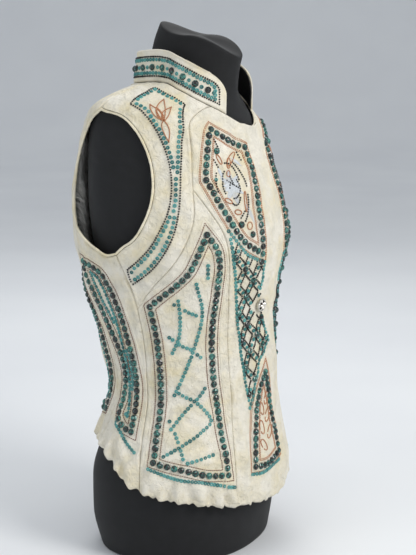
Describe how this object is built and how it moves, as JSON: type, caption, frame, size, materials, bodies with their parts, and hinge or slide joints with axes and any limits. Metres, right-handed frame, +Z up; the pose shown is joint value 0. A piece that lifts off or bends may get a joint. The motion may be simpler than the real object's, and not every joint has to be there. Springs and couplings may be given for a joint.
{
  "type": "beaded sheepskin vest on a dress form",
  "caption": "Sleeveless sheepskin vest with stand collar, beaded panels and rippled hem, buttoned on a limbless black dress form that stands on its flat underside.",
  "frame": {"origin": "centre of the dress form's flat underside, on the surface it stands on", "axes": "+Z up; the front of the vest faces -Y and the wearer's right side is at -X"},
  "size_m": [0.3621, 0.3132, 0.787],
  "materials": {
    "ivory_leather": "matte, softly creased",
    "binding_leather": "matte, folded edge",
    "dark_lining": "matte",
    "silver": "worn, dark in the recesses",
    "black_jersey": "matte stretch jersey"
  },
  "bodies": {
    "root": {"front_right": "ivory_leather", "front_left": "ivory_leather", "armhole_yoke_right": "ivory_leather", "armhole_yoke_left": "ivory_leather", "side_front_right": "ivory_leather", "side_front_left": "ivory_leather", "side_back_right": "ivory_leather", "side_back_left": "ivory_leather", "back": "ivory_leather", "collar": "ivory_leather", "collar_lining": "dark_lining", "armhole_binding_right": "binding_leather", "armhole_binding_left": "binding_leather", "button": "silver", "dress_form": "black_jersey"}
  },
  "joints": []
}
